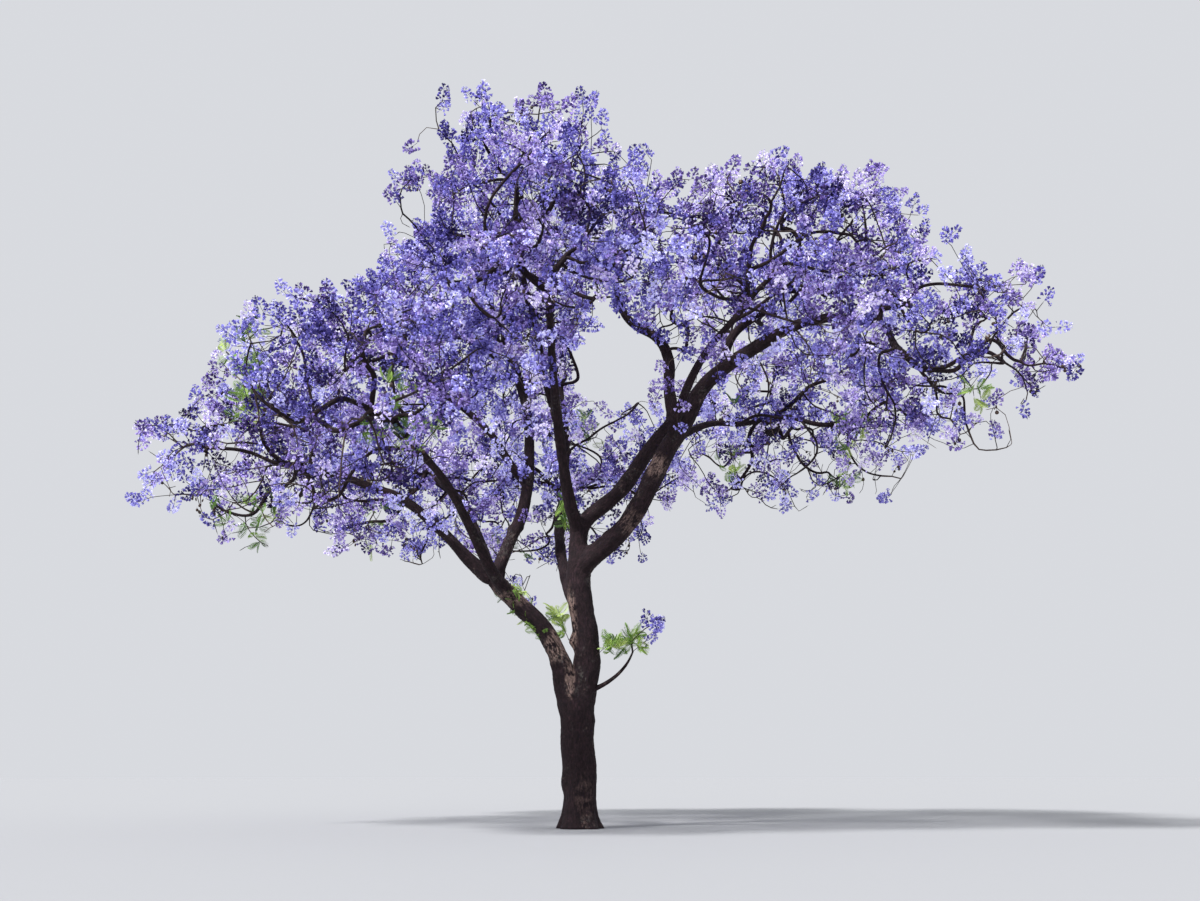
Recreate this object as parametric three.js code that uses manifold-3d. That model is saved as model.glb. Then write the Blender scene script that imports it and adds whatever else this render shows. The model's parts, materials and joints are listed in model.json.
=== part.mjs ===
// A jacaranda tree in full blossom: a short leaning trunk that forks low, sinuous boughs, and a broad crown
// made of separate masses of blossom. Millimetres, +Z up. The flat cut at ground level is centred on the
// origin. The outer stem reaches out towards +X, and the fork is seen from the -Y side.
import * as THREE from "three";
import { mergeVertices } from "three/addons/utils/BufferGeometryUtils.js";
import Module from "manifold-3d";

const wasm = await Module();
wasm.setup();

// Clearance between pieces that touch
const GAP = 0.3;

// Trunk: its shaft broadens under the fork, and its foot flares out in low ridges
const TRUNK_HEIGHT = 2130;
const TRUNK_DIAMETER = 540;
const FORK_DIAMETER = 590;
const TRUNK_RISES = [90, 90, 85, 87, 90];
const LEAN_HEADING = 180;
const FLARE_SPREAD = 110;
const FLARE_HEIGHT = 220;
const FLARE_RIDGES = 5;
const RIDGE_DEPTH = 0.45;
const TRUNK_SIDES = 16;
const TRUNK_RINGS = 9;

// Limbs: each swells at its foot and is faintly fluted
const LIMB_SIDES = 7;
const FOOT_SWELLING = 0.22;
const SWELLING_REACH = 0.14;
const FLUTE_COUNT = 3;
const FLUTE_DEPTH = 0.05;
const PATH_STEPS_PER_TURN = 4;

// Masses: facets are set by how often each edge of an icosahedron is split, and bumps are shares of a radius
const MASS_DETAIL = 3;
const TUFT_DETAIL = 2;
const BUMP_COUNT = 13;
const DEEPEST_DENT = -0.1;
const HIGHEST_BUMP = 0.26;
const BUMP_SHARPNESS = 11;
const SEED_STEP = 13;

// Finishes
const BARK = { color: 0x3b2d27, roughness: 0.92, metalness: 0 };
const BLOSSOM = { color: 0x7d6cc8, roughness: 0.8, metalness: 0 };
const NEW_LEAVES = { color: 0x8fb042, roughness: 0.6, metalness: 0 };

// Each limb sets off from a share of the way along its parent. Its compass heading (0 is +X, 90 is +Y) and
// its rise above level, both in degrees, pass smoothly through the values listed from its foot to its tip.
const LIMBS = {
  left_bough: {
    parent: "trunk", at: 0.9, length: 2750, foot: 350, tip: 290,
    headings: [180, 180, 181], rises: [52, 84, 66, 45, 43, 41],
  },
  right_bough: {
    parent: "trunk", at: 0.9, length: 2560, foot: 400, tip: 410,
    headings: [0, 0, 0], rises: [66, 78, 88, 97, 101, 94, 88],
  },
  outer_stem_low: {
    parent: "right_bough", at: 0.94, length: 2960, foot: 370, tip: 300,
    headings: [-18, -21, -22], rises: [48, 36, 42, 57, 66, 58, 52],
  },
  outer_stem_high: {
    parent: "outer_stem_low", at: 1, length: 4250, foot: 300, tip: 120,
    headings: [-22, -21, -21], rises: [55, 66, 34, 27, 27, 10, -14, -10],
  },
  inner_stem_low: {
    parent: "right_bough", at: 0.93, length: 3450, foot: 300, tip: 235,
    headings: [14, 17, 17], rises: [98, 84, 36, 44, 60, 52, 42],
  },
  inner_stem_high: {
    parent: "inner_stem_low", at: 1, length: 2900, foot: 230, tip: 130,
    headings: [17, 17, 12], rises: [92, 100, 82, 120, 168, 120, 96],
  },
  outer_arm: {
    parent: "outer_stem_high", at: 0.34, length: 1900, foot: 150, tip: 95,
    headings: [0, 16, 24], rises: [98, 70, 42, 30, 48, 66],
  },
  outer_front_arm: {
    parent: "outer_stem_low", at: 0.9, length: 3300, foot: 170, tip: 90,
    headings: [-76, -62, -54], rises: [40, 50, 36, 22, 34],
  },
  inner_back_arm: {
    parent: "inner_stem_low", at: 0.78, length: 3500, foot: 180, tip: 95,
    headings: [60, 42, 34], rises: [10, 32, 26, 4, 22],
  },
  back_limb: {
    parent: "right_bough", at: 0.66, length: 4600, foot: 230, tip: 120,
    headings: [118, 92, 84], rises: [34, 52, 40, 28, 34],
  },
  back_arm: {
    parent: "back_limb", at: 0.5, length: 3500, foot: 150, tip: 90,
    headings: [70, 88, 112], rises: [64, 76, 58, 70],
  },
  front_limb: {
    parent: "inner_stem_low", at: 0.2, length: 4700, foot: 210, tip: 110,
    headings: [-116, -96, -90], rises: [48, 60, 46, 30, 40],
  },
  front_arm: {
    parent: "front_limb", at: 0.46, length: 3350, foot: 140, tip: 90,
    headings: [-150, -126, -104], rises: [66, 76, 58, 72],
  },
  left_stem_up: {
    parent: "left_bough", at: 0.97, length: 4700, foot: 250, tip: 130,
    headings: [36, 52, 120, 150], rises: [74, 58, 76, 84, 68, 72],
  },
  left_arm: {
    parent: "left_stem_up", at: 0.42, length: 3000, foot: 140, tip: 90,
    headings: [166, 184, 196], rises: [44, 62, 42, 32, 52],
  },
  left_stem_out: {
    parent: "left_bough", at: 0.98, length: 3350, foot: 230, tip: 120,
    headings: [178, 186, 184], rises: [36, 48, 40, 18, 24],
  },
  left_stem_front: {
    parent: "left_bough", at: 0.84, length: 4300, foot: 190, tip: 100,
    headings: [-126, -112, -122], rises: [30, 46, 34, 22, 30],
  },
  left_stem_back: {
    parent: "left_bough", at: 0.9, length: 4500, foot: 200, tip: 105,
    headings: [124, 108, 122], rises: [36, 50, 36, 24, 30],
  },
  side_shoot: {
    parent: "right_bough", at: 0.12, length: 1150, foot: 95, tip: 60,
    headings: [-12, -6, 4], rises: [14, 28, 46, 70],
  },
};

// Each mass sits on the end of its limb. Its middle is carried on from the limb's tip by out (level, along
// the limb's heading) and up. Its reach runs along that heading, its breadth across it, all as half sizes.
const MASSES = {
  right_rim_mass: {
    limb: "outer_stem_high", out: 1050, up: -700,
    reach: 1800, breadth: 2250, top: 1500, drop: 1500,
  },
  right_top_mass: {
    limb: "outer_arm", out: 550, up: 750,
    reach: 2000, breadth: 2100, top: 1450, drop: 1150,
  },
  front_right_mass: {
    limb: "outer_front_arm", out: 750, up: 500,
    reach: 1800, breadth: 2150, top: 1350, drop: 1300,
  },
  back_right_mass: {
    limb: "inner_back_arm", out: 950, up: -100,
    reach: 2000, breadth: 2600, top: 1650, drop: 1600,
  },
  back_mass: {
    limb: "back_limb", out: 1150, up: 150,
    reach: 1800, breadth: 2450, top: 1650, drop: 1700,
  },
  back_top_mass: {
    limb: "back_arm", out: 350, up: 800,
    reach: 1900, breadth: 2050, top: 1350, drop: 1150,
  },
  front_mass: {
    limb: "front_limb", out: 1000, up: 400,
    reach: 1750, breadth: 2050, top: 1400, drop: 1350,
  },
  front_top_mass: {
    limb: "front_arm", out: 150, up: 600,
    reach: 1750, breadth: 1900, top: 1300, drop: 1050,
  },
  top_mass: {
    limb: "inner_stem_high", out: 150, up: 750,
    reach: 1850, breadth: 2000, top: 1450, drop: 1100,
  },
  left_top_mass: {
    limb: "left_stem_up", out: 550, up: 900,
    reach: 2000, breadth: 2150, top: 1450, drop: 1200,
  },
  left_rim_mass: {
    limb: "left_stem_out", out: 1400, up: 300,
    reach: 1850, breadth: 2300, top: 1700, drop: 1650,
  },
  front_left_mass: {
    limb: "left_stem_front", out: 1150, up: 150,
    reach: 1800, breadth: 2150, top: 1700, drop: 1650,
  },
  back_left_mass: {
    limb: "left_stem_back", out: 1150, up: 50,
    reach: 1850, breadth: 2250, top: 1650, drop: 1650,
  },
  low_tuft: {
    limb: "side_shoot", out: 110, up: 200,
    reach: 400, breadth: 430, top: 320, drop: 290, leafy: true,
  },
  left_shoulder_mass: {
    limb: "left_arm", out: 450, up: 350,
    reach: 1700, breadth: 2000, top: 1350, drop: 1150,
  },
};

const UP = new THREE.Vector3(0, 0, 1);

// Repeatable random numbers from 0 to 1
function randomFrom(seed) {
  let state = seed;
  return () => {
    state = (Math.imul(state, 1664525) + 1013904223) >>> 0;
    return state / 4294967296;
  };
}

// The value at a share of the way through an evenly spread list, in a straight line between its neighbours
function along(values, share) {
  const place = THREE.MathUtils.clamp(share, 0, 1) * (values.length - 1);
  const before = Math.min(Math.floor(place), values.length - 2);
  return THREE.MathUtils.lerp(values[before], values[before + 1], place - before);
}

function heading(degrees, rise = 0) {
  const turn = THREE.MathUtils.degToRad(degrees);
  const tilt = THREE.MathUtils.degToRad(rise);
  const level = Math.cos(tilt);
  return new THREE.Vector3(Math.cos(turn) * level, Math.sin(turn) * level, Math.sin(tilt));
}

// The centre line of a limb, walked in short steps from its foot
function pathOf(start, { length, headings, rises }) {
  const steps = PATH_STEPS_PER_TURN * rises.length;
  const points = [start.clone()];
  for (let step = 0; step < steps; step++) {
    const share = (step + 0.5) / steps;
    const stride = heading(along(headings, share), along(rises, share)).multiplyScalar(length / steps);
    points.push(points.at(-1).clone().add(stride));
  }
  return new THREE.CatmullRomCurve3(points);
}

// A closed geometry with its shared vertices merged, as a solid that can be cut
function solidFrom(geometry) {
  const bare = geometry.clone();
  bare.deleteAttribute("normal");
  bare.deleteAttribute("uv");
  const merged = mergeVertices(bare, 1e-3);
  return new wasm.Manifold(
    new wasm.Mesh({
      numProp: 3,
      vertProperties: new Float32Array(merged.attributes.position.array),
      triVerts: new Uint32Array(merged.index.array),
    }),
  );
}

function geometryFrom(solid) {
  const mesh = solid.getMesh();
  return new THREE.BufferGeometry()
    .setAttribute("position", new THREE.BufferAttribute(new Float32Array(mesh.vertProperties), 3))
    .setIndex(new THREE.BufferAttribute(new Uint32Array(mesh.triVerts), 1));
}

// A cylinder bent along a path. radiusAt gives the radius at a share of the way along and an angle round,
// and grow swells the whole limb, ends included.
function bentCylinder(path, sides, rings, radiusAt, grow) {
  const tube = new THREE.CylinderGeometry(1, 1, 1, sides, rings);
  const frames = path.computeFrenetFrames(rings);
  const place = tube.attributes.position;
  for (let i = 0; i < place.count; i++) {
    const ring = Math.round((place.getY(i) + 0.5) * rings);
    const angle = Math.atan2(place.getZ(i), place.getX(i));
    const spoke = Math.hypot(place.getX(i), place.getZ(i));
    const radius = spoke * (radiusAt(ring / rings, angle) + grow);
    const lengthening = ring === 0 ? -grow : ring === rings ? grow : 0;
    const point = path
      .getPointAt(ring / rings)
      .addScaledVector(frames.tangents[ring], lengthening)
      .addScaledVector(frames.normals[ring], radius * Math.cos(angle))
      .addScaledVector(frames.binormals[ring], -radius * Math.sin(angle));
    place.setXYZ(i, point.x, point.y, point.z);
  }
  return solidFrom(tube);
}

function trunkRadius(share, angle) {
  const rise = share * TRUNK_HEIGHT;
  const shaft = THREE.MathUtils.lerp(TRUNK_DIAMETER / 2, FORK_DIAMETER / 2, share ** 4);
  const ridge = 1 + RIDGE_DEPTH * Math.cos(FLARE_RIDGES * angle);
  return shaft + FLARE_SPREAD * ridge * Math.exp(-rise / FLARE_HEIGHT);
}

function limbRadius({ foot, tip }) {
  return (share, angle) => {
    const taper = THREE.MathUtils.lerp(foot, tip, share) / 2;
    const swelling = 1 + FOOT_SWELLING * Math.exp(-share / SWELLING_REACH);
    const fluting = 1 + FLUTE_DEPTH * Math.cos(FLUTE_COUNT * (angle + share));
    return taper * swelling * fluting;
  };
}

// A mass is a sphere drawn out to its reach, breadth and height, flatter below than above, with bumps
function massSolid(middle, facing, sizes, seed, grow) {
  const { reach, breadth, top, drop, leafy } = sizes;
  const random = randomFrom(seed);
  const bumps = Array.from({ length: BUMP_COUNT }, () => ({
    to: new THREE.Vector3().setFromSphericalCoords(1, Math.acos(1 - 2 * random()), 2 * Math.PI * random()),
    size: THREE.MathUtils.lerp(DEEPEST_DENT, HIGHEST_BUMP, random()),
  }));
  const ball = new THREE.IcosahedronGeometry(1, leafy ? TUFT_DETAIL : MASS_DETAIL);
  const place = ball.attributes.position;
  const out = heading(facing);
  const across = new THREE.Vector3().crossVectors(UP, out);
  for (let i = 0; i < place.count; i++) {
    const way = new THREE.Vector3().fromBufferAttribute(place, i).normalize();
    const bulge = bumps.reduce(
      (sum, bump) => sum + bump.size * Math.max(0, way.dot(bump.to)) ** BUMP_SHARPNESS,
      1,
    );
    const point = new THREE.Vector3()
      .addScaledVector(out, way.x * reach * bulge)
      .addScaledVector(across, way.y * breadth * bulge)
      .addScaledVector(UP, way.z * (way.z > 0 ? top : drop) * bulge);
    point.setLength(point.length() + grow).add(middle);
    place.setXYZ(i, point.x, point.y, point.z);
  }
  return solidFrom(ball);
}

// Cuts a new piece clear of those already made, and keeps the largest body of what is left
const made = [];
function fitted(solid, swollen) {
  const cut = made.reduce((rest, earlier) => rest.subtract(earlier), solid);
  made.push(swollen);
  return cut.decompose().sort((a, b) => b.volume() - a.volume())[0];
}

const tree = new THREE.Group();
function addNode(name, solid, finish) {
  const mesh = new THREE.Mesh(geometryFrom(solid), new THREE.MeshStandardMaterial(finish));
  mesh.name = name;
  tree.add(mesh);
}

const paths = {};
paths.trunk = pathOf(new THREE.Vector3(0, 0, 0), {
  length: TRUNK_HEIGHT, headings: [LEAN_HEADING, LEAN_HEADING], rises: TRUNK_RISES,
});
const trunkSolid = (grow) => bentCylinder(paths.trunk, TRUNK_SIDES, TRUNK_RINGS, trunkRadius, grow);
addNode("trunk", fitted(trunkSolid(0), trunkSolid(GAP)), BARK);

for (const [name, limb] of Object.entries(LIMBS)) {
  const path = pathOf(paths[limb.parent].getPointAt(limb.at), limb);
  paths[name] = path;
  const rings = limb.rises.length;
  const limbSolid = (grow) => bentCylinder(path, LIMB_SIDES, rings, limbRadius(limb), grow);
  addNode(name, fitted(limbSolid(0), limbSolid(GAP)), BARK);
}

Object.entries(MASSES).forEach(([name, sizes], index) => {
  const tip = paths[sizes.limb].getPointAt(1);
  const facing = LIMBS[sizes.limb].headings.at(-1);
  const middle = tip.addScaledVector(heading(facing), sizes.out).addScaledVector(UP, sizes.up);
  const solid = (grow) => massSolid(middle, facing, sizes, SEED_STEP * (index + 1), grow);
  addNode(name, fitted(solid(0), solid(GAP)), sizes.leafy ? NEW_LEAVES : BLOSSOM);
});

export default tree;
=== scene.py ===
import json
import math

import bpy
import numpy as np
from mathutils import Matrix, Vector
from mathutils.bvhtree import BVHTree

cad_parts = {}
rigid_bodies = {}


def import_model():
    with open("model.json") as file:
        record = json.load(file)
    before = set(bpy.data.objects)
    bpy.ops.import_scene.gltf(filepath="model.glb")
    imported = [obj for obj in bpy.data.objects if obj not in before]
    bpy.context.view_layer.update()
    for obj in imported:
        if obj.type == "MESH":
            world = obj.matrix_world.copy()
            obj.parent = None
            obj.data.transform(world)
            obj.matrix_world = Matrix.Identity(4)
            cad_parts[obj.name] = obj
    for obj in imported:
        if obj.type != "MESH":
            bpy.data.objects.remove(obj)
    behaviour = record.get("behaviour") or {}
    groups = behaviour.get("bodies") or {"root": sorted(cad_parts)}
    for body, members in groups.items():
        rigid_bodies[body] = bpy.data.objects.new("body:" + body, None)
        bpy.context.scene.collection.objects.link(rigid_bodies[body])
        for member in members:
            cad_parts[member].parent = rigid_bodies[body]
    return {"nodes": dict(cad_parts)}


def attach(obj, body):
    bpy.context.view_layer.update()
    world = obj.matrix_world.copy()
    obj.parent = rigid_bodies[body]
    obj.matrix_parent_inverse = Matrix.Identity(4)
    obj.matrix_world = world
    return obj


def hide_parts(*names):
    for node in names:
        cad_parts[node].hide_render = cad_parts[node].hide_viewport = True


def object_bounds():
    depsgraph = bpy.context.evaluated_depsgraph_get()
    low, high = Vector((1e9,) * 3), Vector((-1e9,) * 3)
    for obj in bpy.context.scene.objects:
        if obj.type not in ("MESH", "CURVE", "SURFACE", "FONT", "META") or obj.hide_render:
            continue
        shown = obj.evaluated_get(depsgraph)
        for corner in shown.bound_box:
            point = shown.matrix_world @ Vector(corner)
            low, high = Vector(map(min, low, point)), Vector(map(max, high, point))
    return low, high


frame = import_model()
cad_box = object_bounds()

# A jacaranda tree in full blossom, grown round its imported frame, in metres. Trunk and boughs follow the
# centre lines of the frame's solids. Each mass of blossom becomes twigs that grow on from its limb.

# The trunk, and the limbs as the frame has them: heading and rise, in degrees, pass through the values
# listed from foot to tip, and foot and tip are diameters. Only the side shoot's tip is slimmer here.
LIMBS = {
    "trunk": dict(parent=None, at=0, length=2.13, foot=0.54, tip=0.59,
                  headings=[180, 180], rises=[90, 90, 85, 87, 90]),
    "left_bough": dict(parent="trunk", at=0.9, length=2.75, foot=0.35, tip=0.29,
                       headings=[180, 180, 181], rises=[52, 84, 66, 45, 43, 41]),
    "right_bough": dict(parent="trunk", at=0.9, length=2.56, foot=0.40, tip=0.41,
                        headings=[0, 0, 0], rises=[66, 78, 88, 97, 101, 94, 88]),
    "outer_stem_low": dict(parent="right_bough", at=0.94, length=2.96, foot=0.37, tip=0.30,
                           headings=[-18, -21, -22], rises=[48, 36, 42, 57, 66, 58, 52]),
    "outer_stem_high": dict(parent="outer_stem_low", at=1, length=4.25, foot=0.30, tip=0.12,
                            headings=[-22, -21, -21], rises=[55, 66, 34, 27, 27, 10, -14, -10]),
    "inner_stem_low": dict(parent="right_bough", at=0.93, length=3.45, foot=0.30, tip=0.235,
                           headings=[14, 17, 17], rises=[98, 84, 36, 44, 60, 52, 42]),
    "inner_stem_high": dict(parent="inner_stem_low", at=1, length=2.9, foot=0.23, tip=0.13,
                            headings=[17, 17, 12], rises=[92, 100, 82, 120, 168, 120, 96]),
    "outer_arm": dict(parent="outer_stem_high", at=0.34, length=1.9, foot=0.15, tip=0.095,
                      headings=[0, 16, 24], rises=[98, 70, 42, 30, 48, 66]),
    "outer_front_arm": dict(parent="outer_stem_low", at=0.9, length=3.3, foot=0.17, tip=0.09,
                            headings=[-76, -62, -54], rises=[40, 50, 36, 22, 34]),
    "inner_back_arm": dict(parent="inner_stem_low", at=0.78, length=3.5, foot=0.18, tip=0.095,
                           headings=[60, 42, 34], rises=[10, 32, 26, 4, 22]),
    "back_limb": dict(parent="right_bough", at=0.66, length=4.6, foot=0.23, tip=0.12,
                      headings=[118, 92, 84], rises=[34, 52, 40, 28, 34]),
    "back_arm": dict(parent="back_limb", at=0.5, length=3.5, foot=0.15, tip=0.09,
                     headings=[70, 88, 112], rises=[64, 76, 58, 70]),
    "front_limb": dict(parent="inner_stem_low", at=0.2, length=4.7, foot=0.21, tip=0.11,
                       headings=[-116, -96, -90], rises=[48, 60, 46, 30, 40]),
    "front_arm": dict(parent="front_limb", at=0.46, length=3.35, foot=0.14, tip=0.09,
                      headings=[-150, -126, -104], rises=[66, 76, 58, 72]),
    "left_stem_up": dict(parent="left_bough", at=0.97, length=4.7, foot=0.25, tip=0.13,
                         headings=[36, 52, 120, 150], rises=[74, 58, 76, 84, 68, 72]),
    "left_arm": dict(parent="left_stem_up", at=0.42, length=3.0, foot=0.14, tip=0.09,
                     headings=[166, 184, 196], rises=[44, 62, 42, 32, 52]),
    "left_stem_out": dict(parent="left_bough", at=0.98, length=3.35, foot=0.23, tip=0.12,
                          headings=[178, 186, 184], rises=[36, 48, 40, 18, 24]),
    "left_stem_front": dict(parent="left_bough", at=0.84, length=4.3, foot=0.19, tip=0.10,
                            headings=[-126, -112, -122], rises=[30, 46, 34, 22, 30]),
    "left_stem_back": dict(parent="left_bough", at=0.9, length=4.5, foot=0.20, tip=0.105,
                           headings=[124, 108, 122], rises=[36, 50, 36, 24, 30]),
    "side_shoot": dict(parent="right_bough", at=0.12, length=1.15, foot=0.095, tip=0.034,
                       headings=[-12, -6, 4], rises=[14, 28, 46, 70]),
}

# How the trunk's foot spreads and every limb swells at its foot, and how finely centre lines are drawn
FLARE_SPREAD = 0.11
FLARE_HEIGHT = 0.22
FLARE_RIDGES = 5
RIDGE_DEPTH = 0.45
RIDGE_SWAY = 1.2
TRUNK_TAPER = 4
FOOT_SWELLING = 0.22
SWELLING_REACH = 0.14
PATH_STEPS_PER_TURN = 4
CURVE_SAMPLES = 6
FEWEST_RINGS = 4

# Lengths of wood that are one smooth run through several of the frame's limbs, and the facets round them
RUNS = {
    "trunk_wood": (["trunk"], 84),
    "right_limb": (["right_bough", "outer_stem_low", "outer_stem_high"], 44),
    "inner_limb": (["inner_stem_low", "inner_stem_high"], 32),
    "left_limb": (["left_bough", "left_stem_up"], 38),
    "left_outer_limb": (["left_stem_out"], 26),
    "left_front_limb": (["left_stem_front"], 24),
    "left_back_limb": (["left_stem_back"], 24),
    "back_limb_wood": (["back_limb"], 26),
    "front_limb_wood": (["front_limb"], 26),
    "left_arm_wood": (["left_arm"], 18),
    "outer_arm_wood": (["outer_arm"], 20),
    "outer_front_arm_wood": (["outer_front_arm"], 20),
    "inner_back_arm_wood": (["inner_back_arm"], 20),
    "back_arm_wood": (["back_arm"], 18),
    "front_arm_wood": (["front_arm"], 18),
    "side_shoot_wood": (["side_shoot"], 14),
}

# How far apart the rings of a run and of the crown's boughs are, how runs are smoothed, and how they end
RING_SPACING = 0.036
CROWN_RING_SPACING = 0.066
CORE_SPACING = RING_SPACING / 3
JOIN_MARGIN = 0.02
JOINED_SOFTENING = 14
LIMB_SOFTENING = 2
FOOT_SHARE = 0.4
TRUNK_DOME = 0.22
TRUNK_CAP = 0.12
LIMB_CAP = 0.5

# Where limbs join: the fillet's width as a share of the thinner radius, the shares of that width over which
# a buried skin is let go and tucked under, how far it is tucked, and how calm the bark is in a crotch
FILLET_WIDTH = 0.8
FILLET_PASSES = 3
LEAST_SLOPE = 0.4
LETTING_GO = 0.6
TUCK_REACH = 0.4
TUCK = 0.13
CROTCH_CALM = 0.85

# Relief of the bark: lumps and flutes as shares of the radius, the breadth of a plate in metres, and for
# fissures and roughness the most in metres and the share of the radius
LUMP = 0.05
FLUTE = 0.022
PLATE = 0.075
FISSURE_BREADTH = 0.3
FISSURE = (0.011, 0.04)
ROUGHNESS = (0.0022, 0.012)
KNOT_SPACING = 0.28
LOWEST_KNOT = 0.2
KNOT_HEIGHT = (0.06, 0.2)
KNOT_BREADTH = (0.1, 0.4)
CROWN_LUMP = 0.05

# Along a limb the bark's pattern is this much longer than across, and its flat map is laid out in columns
GRAIN_STRETCH = 0.35
GRAIN_SHIFT = 1.7
MAP_COLUMNS = 24
MAP_MARGIN = 0.01
STRIP_GAP = 0.02
STRIP_SHARE = 0.96

# Which mass each limb fills
FILLS = {
    "outer_stem_high": "right_rim_mass", "outer_arm": "right_top_mass", "outer_front_arm": "front_right_mass",
    "inner_back_arm": "back_right_mass", "back_limb": "back_mass", "back_arm": "back_top_mass",
    "front_limb": "front_mass", "front_arm": "front_top_mass", "inner_stem_high": "top_mass",
    "left_stem_up": "left_top_mass", "left_stem_out": "left_rim_mass", "left_stem_front": "front_left_mass",
    "left_stem_back": "back_left_mass", "left_arm": "left_shoulder_mass", "side_shoot": "low_tuft",
}

CROWN_MASSES = [mass for mass in FILLS.values() if mass != "low_tuft"]

# Young shoots with leaves that show near the fork: places from foot to tip, and the diameter at the foot
LEAFY_SHOOTS = [
    ([(-0.20, -0.08, 2.36), (-0.31, -0.16, 2.78), (-0.50, -0.14, 3.13), (-0.78, -0.05, 3.36),
      (-0.97, 0.04, 3.70), (-1.02, 0.10, 3.98)], 0.036),
    ([(-0.74, -0.06, 3.34), (-0.98, -0.10, 3.52), (-1.18, -0.06, 3.78), (-1.32, 0.02, 3.96)], 0.016),
    ([(-0.05, 0.06, 2.98), (-0.24, 0.20, 3.20), (-0.30, 0.26, 3.42), (-0.40, 0.30, 3.60)], 0.018),
    ([(0.05, 0.06, 4.55), (-0.16, 0.26, 4.90), (-0.30, 0.34, 5.30), (-0.28, 0.40, 5.66)], 0.022),
    ([(0.10, -0.10, 2.75), (0.34, -0.16, 2.92), (0.52, -0.22, 3.00), (0.66, -0.24, 2.92)], 0.014),
]
SHOOT_LEAVES = 7
SHOOT_BENDS = (0.02, 0.3)
SHOOT_TAPER = 0.7
SHOOT_SIDES = 5

# Places for twig ends: how many are tried in each cubic metre, how deep they lie in a mass, how much fewer
# they are in its core, how far apart they are, and how far they reach into the clefts between masses
TRIES_PER_M3 = 34
TUFT_TRIES = 720
SKIN_DEPTH = 0.1
TUFT_SKIN_DEPTH = 0.02
CORE_DEPTH = 0.75
CORE_SHARE = 0.35
TARGET_SPACING = 0.27
TUFT_SPACING = 0.17
CLEFT_REACH = 0.6
LOWEST_SIDE_TWIG = 4.9
SIDE_TARGETS_PER_M = 13
SIDE_REACH = (0.35, 1.5)
SIDE_FROM = 0.3
SIDE_LIFT = 0.25

# Growth of boughs and twigs towards those places: strides, the reach at which a place counts as reached,
# how the wood strays, rises and bends, and how thick it is
GROWTH_ROUNDS = 140
BOUGH_SPACING = 0.95
BOUGH_STRIDE = 0.17
BOUGH_REACH = 0.3
BOUGH_FEET = 5
TWIG_STRIDE = 0.13
TWIG_REACH = 0.19
WANDER = 0.42
LIFT = 0.10
BENDS = [(1.4, 0.15), (0.7, 0.055)]
BEND_FROM = 0.45
TIP_RADIUS = 0.0062
PIPE_POWER = 2.0
THICK = 0.016
FOOT_SPREAD = 1.25
NECK = 0.75
TWIG_SIDES = [(0.009, 3), (0.016, 4), (0.03, 6), (math.inf, 9)]
TWIG_ODDS = [0.45, 0.4, 0.15]
HEAVY_BOUGH = 0.04

# What keeps the wood in the crown's outline: how far it may stand out, what share of the rest is drawn in,
# and when it's left out
CROWN_MIDDLE = np.array([0.3, 0.0, 5.5])
STANDS_PROUD = 0.16
DRAWN_IN = 0.85
FACES_OUT = 0.25
NEARLY_OUT = 0.05
BARE_STRETCH = 3
GAP_TWIG_LOAD = 15

# Where sprays sit and which way they point: along the twig, out from the crown's heart and up
HEART_HEIGHT = 5.0
SIDE_SPRAY_LOAD = 4
SIDE_SPRAY_SHARE = 0.3
SPRAY_ALONG = 0.8
SPRAY_OUT = 0.35
SPRAY_RISE = 0.5
SPRAY_WANDER = 0.35
SIDE_SPRAY_WANDER = 0.8

# Which sprays are leaves, pods or blossom. Blossom is scarcer under a mass, outside it and deep inside it.
LEAF_PATCH = 2.2
LEAFY_FROM = 1.75
LEAFIER_BELOW = 6.0
LEAFIER_PER_M = 0.275
TUFT_LEAFY_SHARE = 0.7
POD_SHARE = 0.08
PODS_TOGETHER = 3
POD_SCATTER = 0.05
UNDERSIDE_BLOSSOM = 0.28
UNDERSIDE = 0.1
UNDERSIDE_FADE = 0.4
UPPER_BLOSSOM = 0.95
STRAY_BLOSSOM = 0.5
INSIDE = 0.9
INSIDE_BLOSSOM = 0.6
SPILL = 0.32

# Shades of the blossom's sprays: the middle one, higher in the low tuft as painted light where it sits in
# shade, how far it drifts and spreads, and how much painted shade darkens it for each metre deeper than the
# outer blossom
MIDDLE_SHADE = 3.2
TUFT_SHADE = 4.0
SHADE_DRIFT = 1.15
SHADE_PATCH = 1.6
SHADE_SPREAD = 1.2
OUTER_DEPTH = 0.3
DEEP_PAINTED_SHADE = 1.7

# The family of lilac petals takes over in patches: their breadth, how mixed they are and where they start
LILAC_PATCH = 2.6
LILAC_MIX = 0.5
LILAC_FROM = 0.1

# Blossom, leaves and pods, a little over life size
FLORET_LENGTH = 0.064
FLORETS_PER_PANICLE = 28
FLORET_ODDS = [0.18, 0.72, 0.10]
BUDS_FROM = 0.88
PANICLE_KINDS = 12
PANICLE_LENGTH = 0.26
PANICLE_WIDTH = 0.055
STALK_RADII = np.array([0.0035, 0.003, 0.002, 0.001])
LEAF_KINDS = 4
LEAF_LENGTH = 0.27
LEAF_PAIRS = 10
LEAFLET_REACH = 0.36
LEAFLET_WIDTH = 0.036
LEAVES_PER_SPRAY = 4
POD_DIAMETER = 0.058
POD_SIDES = 9
PANICLE_SIZES = (0.85, 1.2)
LEAF_SIZES = (0.7, 1.15)
POD_SIZES = (0.8, 1.2)

# Where the photograph was taken from, and the opening that it shows in the crown over the trunk: its middle
# and half size, across and up, and how ragged its edge is
EYE = np.array([0.0, -24.0, 1.05])
GAP_MIDDLE = (0.5, 8.0)
GAP_SIZE = (0.62, 1.15)
GAP_RAGGEDNESS = 0.35
RAGGED_PATCH = 0.9

# A whole turn in radians, and a way that no limb starts out in
WHOLE_TURN = 6.3
UP = np.array([0.0, 0.0, 1.0])
MOSTLY_AWAY = [0.31, 0.95, 0.05]


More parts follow.
